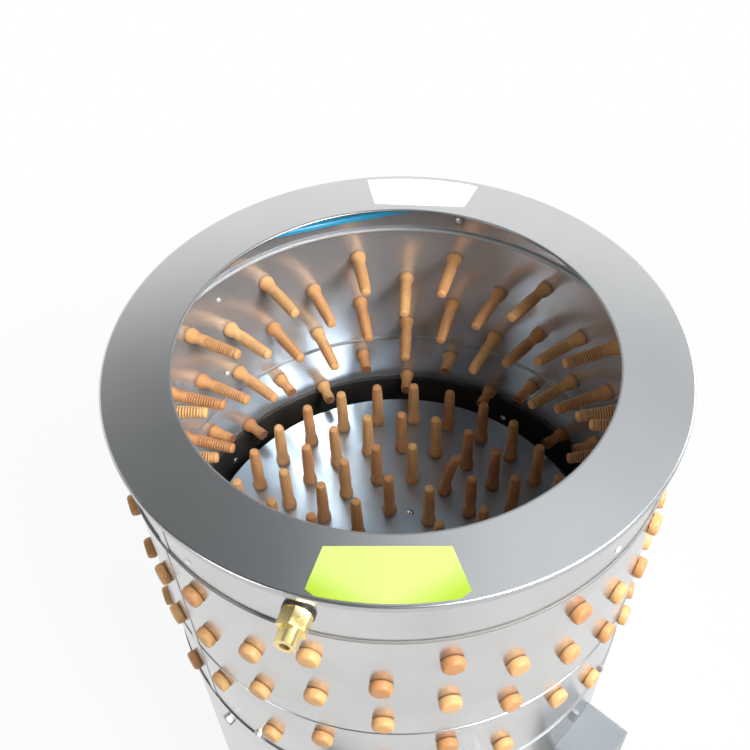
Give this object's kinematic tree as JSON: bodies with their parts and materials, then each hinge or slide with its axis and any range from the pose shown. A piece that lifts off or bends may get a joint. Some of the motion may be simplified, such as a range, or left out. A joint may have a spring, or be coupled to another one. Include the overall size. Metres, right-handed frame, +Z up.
{
  "type": "poultry plucker",
  "caption": "Drum poultry plucker: stainless tub lined with ribbed rubber fingers, turning finger plate, spray hose, feather chute, belt drive, legs and wheels.",
  "frame": {"origin": "on the floor under the drum axis, at the middle of the whole outline", "axes": "+Z up along the drum axis, -Y to the front (chute side), +X to the right seen from the front"},
  "size_m": [0.6926, 0.7, 0.9],
  "materials": {
    "stainless": "satin brushed stainless sheet",
    "bright_steel": "turned or pressed bright steel",
    "zinc_steel": "zinc plated fasteners",
    "painted_steel": "dark painted steel",
    "tan_rubber": "tan natural rubber",
    "black_rubber": "black rubber",
    "blue_hose": "smooth blue tube",
    "brass": "machined brass",
    "grey_paint": "grey paint",
    "black_plastic": "moulded black plastic",
    "green_plastic": "green button",
    "red_plastic": "red button"
  },
  "bodies": {
    "machine": {"rim_cover": "stainless", "spray_collar": "stainless", "collar_gasket": "black_rubber", "irrigation_hose": "blue_hose", "hose_clips": "bright_steel", "clip_rivets": "bright_steel", "hose_plug": "brass", "water_inlet": "brass", "inlet_seal": "black_rubber", "inlet_locknut": "brass", "drum_wall": "stainless", "upper_wall_fingers": "tan_rubber", "middle_wall_fingers": "tan_rubber", "lower_wall_fingers": "tan_rubber", "drum_liner": "black_rubber", "liner_screws": "bright_steel", "base_shell": "stainless", "flange_fasteners": "zinc_steel", "feather_pan": "stainless", "feather_chute": "stainless", "chute_rivets": "bright_steel", "bearing_bridge": "painted_steel", "bridge_bolts": "zinc_steel", "bearing_housing": "grey_paint", "shaft_bearings": "bright_steel", "motor_plate": "painted_steel", "motor_frame": "grey_paint", "fan_cover": "black_plastic", "capacitor_box": "black_plastic", "motor_bolts": "zinc_steel", "drive_belt": "black_rubber", "base_ring": "stainless", "belt_guard": "stainless", "guard_screws": "zinc_steel", "front_legs": "stainless", "rubber_feet": "black_rubber", "wheel_brackets": "painted_steel", "leg_bolts": "zinc_steel", "wheel_axle": "bright_steel", "axle_caps": "black_plastic", "side_handles": "stainless", "handle_bolts": "zinc_steel", "switch_box": "grey_paint", "switch_cover": "grey_paint", "cable_gland": "black_plastic"},
    "finger_rotor": {"finger_plate": "stainless", "outer_plate_fingers": "tan_rubber", "inner_plate_fingers": "tan_rubber", "plate_screws": "bright_steel", "plate_hub": "painted_steel", "main_shaft": "bright_steel", "shaft_nuts": "bright_steel", "driven_pulley": "grey_paint"},
    "motor_rotor": {"motor_shaft": "bright_steel", "motor_pulley": "grey_paint", "cooling_fan": "black_plastic"},
    "left_wheel": {"left_wheel": "black_rubber"},
    "right_wheel": {"right_wheel": "black_rubber"},
    "start_button": {"start_button": "green_plastic"},
    "stop_button": {"stop_button": "red_plastic"}
  },
  "joints": [
    {"name": "plate_spin", "type": "hinge", "parent": "machine", "child": "finger_rotor", "pos_m": [0, 0, 0.514], "axis": [0, 0, 1], "continuous": true},
    {"name": "motor_spin", "type": "hinge", "parent": "machine", "child": "motor_rotor", "pos_m": [0, 0.185, 0.2], "axis": [0, 0, 1], "continuous": true},
    {"name": "left_wheel_spin", "type": "hinge", "parent": "machine", "child": "left_wheel", "pos_m": [-0.19, 0.275, 0.075], "axis": [1, 0, 0], "continuous": true},
    {"name": "right_wheel_spin", "type": "hinge", "parent": "machine", "child": "right_wheel", "pos_m": [0.19, 0.275, 0.075], "axis": [1, 0, 0], "continuous": true},
    {"name": "start_press", "type": "slide", "parent": "machine", "child": "start_button", "axis": [-0.7431, 0.6691, 0], "range_m": [0, 0.004], "stiffness_N_per_m": 400},
    {"name": "stop_press", "type": "slide", "parent": "machine", "child": "stop_button", "axis": [-0.7431, 0.6691, 0], "range_m": [0, 0.004], "stiffness_N_per_m": 400}
  ],
  "couplings": [
    {"joint": "motor_spin", "follows": "plate_spin", "ratio": 5}
  ]
}
